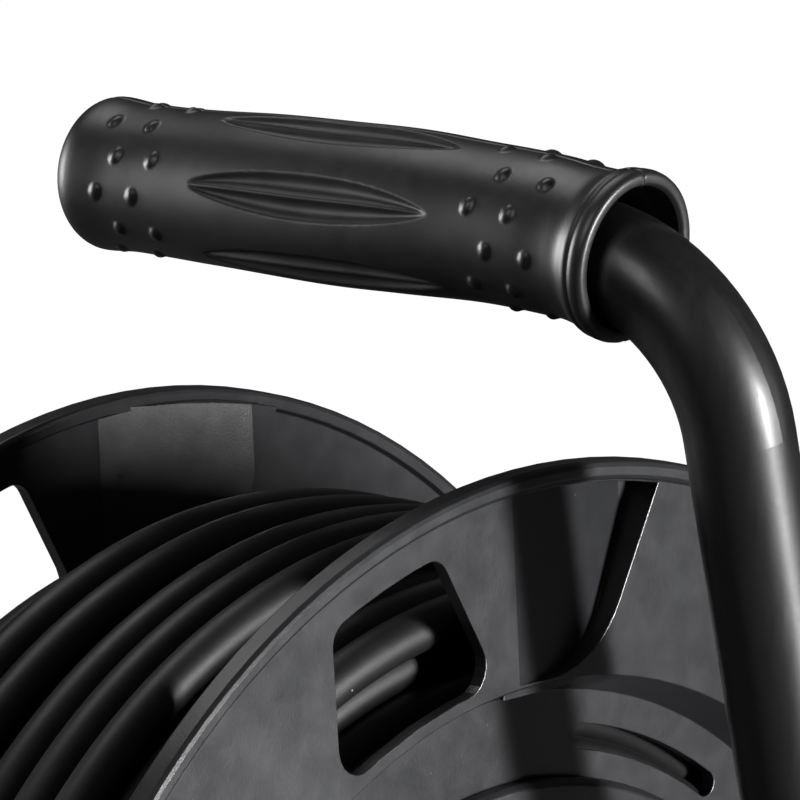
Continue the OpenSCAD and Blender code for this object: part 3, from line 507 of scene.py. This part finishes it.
def dress_cad_nodes():
    """Gives each CAD node its procedural material, and rounds the sharp edges."""
    for name, obj in frame["nodes"].items():
        material = MATERIALS[NODE_SLOTS[name]]
        obj.data.materials.clear()
        obj.data.materials.append(material)
        width = BEVELLED.get(name, 0.0)
        if name.startswith("lid_") and name[4:].isdigit():
            width = 0.5
        if width > 0:
            weld = obj.modifiers.new("weld", "WELD")
            weld.merge_threshold = 0.000002
            bevel = obj.modifiers.new("rounded_edges", "BEVEL")
            bevel.width = width * MM
            bevel.segments = 2
            bevel.limit_method = "ANGLE"
            bevel.angle_limit = math.radians(32.0)
            bevel.miter_outer = "MITER_ARC"
        if name in CRISP:
            crisp = obj.modifiers.new("crisp_folds", "EDGE_SPLIT")
            crisp.split_angle = math.radians(9.5)
            even = obj.modifiers.new("even_normals", "WEIGHTED_NORMAL")
            even.mode = "FACE_AREA"


# ---------------------------------------------------------------- stage

def stage_material():
    """A pale floor that stays plain white to the eye and dim in reflections."""
    n = Nodes("floor_white")
    pale = n.mix(n.ramp(n.noise(3.0, 2.0), 0.3, 0.7), (0.36, 0.36, 0.36), (0.38, 0.38, 0.38))
    path = n.add("ShaderNodeLightPath")
    n.colour(n.mix(path.outputs["Is Glossy Ray"], pale, (0.07, 0.07, 0.07)))
    n.shader.inputs["Roughness"].default_value = 0.9
    glow = n.add("ShaderNodeEmission", Strength=1.16)
    share = n.math("MULTIPLY", path.outputs["Is Camera Ray"], 0.88)
    blend = n.add("ShaderNodeMixShader")
    n.join(share, blend.inputs[0])
    n.join(n.shader.outputs["BSDF"], blend.inputs[1])
    n.join(glow.outputs["Emission"], blend.inputs[2])
    n.join(blend.outputs["Shader"], n.tree.nodes["Material Output"].inputs["Surface"])
    return n.material


def build_stage():
    size = 30.0
    mesh = bpy.data.meshes.new("floor")
    mesh.from_pydata([(-size, -size, 0), (size, -size, 0), (size, size, 0), (-size, size, 0)],
                     [], [(0, 1, 2, 3)])
    floor = bpy.data.objects.new("floor", mesh)
    bpy.context.scene.collection.objects.link(floor)
    mesh.materials.append(stage_material())


# Name, azimuth and elevation in degrees, distance, width and height in metres, and watts.
# Azimuth 0 is straight in front of the legs, and it grows towards +X.
SOFTBOXES = [("left_high", -86.0, 34.0, 2.0, 0.6, 0.9, 10.0),
             ("back_low", -163.0, 3.0, 2.0, 0.85, 0.8, 34.0),
             ("top_back", 165.0, 60.0, 2.2, 1.4, 0.7, 14.0),
             ("low_right", 15.5, 0.0, 1.8, 0.17, 0.6, 90.0)]
CAMERA_AZIMUTH, CAMERA_ELEVATION = -47.65, 10.8
CAMERA_DISTANCE, CAMERA_LENS = 2.207, 494.0


def outward(azimuth, elevation):
    """The unit direction from the reel at these angles, in degrees."""
    a, e = math.radians(azimuth), math.radians(elevation)
    return Vector((math.sin(a) * math.cos(e), -math.cos(a) * math.cos(e), math.sin(e)))


def softbox(name, azimuth, elevation, distance, width, height, power):
    """An area light that faces the reel from a direction, in degrees."""
    light = bpy.data.lights.new(name, "AREA")
    light.shape = "RECTANGLE"
    light.size, light.size_y = width, height
    light.energy = power
    lamp = bpy.data.objects.new(name, light)
    back = outward(azimuth, elevation)
    target = Vector((0.0, 0.0, AXLE_Z + 0.12))
    lamp.location = target + back * distance
    lamp.rotation_euler = (-back).to_track_quat("-Z", "Y").to_euler()
    bpy.context.scene.collection.objects.link(lamp)


def build_lights():
    world = bpy.data.worlds.new("studio")
    bpy.context.scene.world = world
    world.use_nodes = True
    tree = world.node_tree
    back = tree.nodes["Background"]
    seen = tree.nodes.new("ShaderNodeLightPath")
    level = tree.nodes.new("ShaderNodeMapRange")
    level.inputs["To Min"].default_value = 0.03
    level.inputs["To Max"].default_value = 1.1
    tree.links.new(seen.outputs["Is Camera Ray"], level.inputs["Value"])
    tree.links.new(level.outputs["Result"], back.inputs["Strength"])
    back.inputs["Color"].default_value = (1.0, 1.0, 1.0, 1.0)
    for name, *values in SOFTBOXES:
        softbox(name, *values)


def build_camera():
    """A long lens from the legs' side, left of the axle and a little above."""
    back = outward(CAMERA_AZIMUTH, CAMERA_ELEVATION)
    target = Vector((0.0262, 0.0046, AXLE_Z + 0.1616))
    data = bpy.data.cameras.new("photo_view")
    data.sensor_width = 36.0
    data.lens = CAMERA_LENS
    camera = bpy.data.objects.new("photo_view", data)
    camera.location = target + back * CAMERA_DISTANCE
    camera.rotation_euler = (-back).to_track_quat("-Z", "Y").to_euler()
    bpy.context.scene.collection.objects.link(camera)
    bpy.context.scene.camera = camera


build_grip()
build_winding()
dress_cad_nodes()
build_stage()
build_lights()
build_camera()
bpy.context.scene.view_settings.view_transform = "Standard"
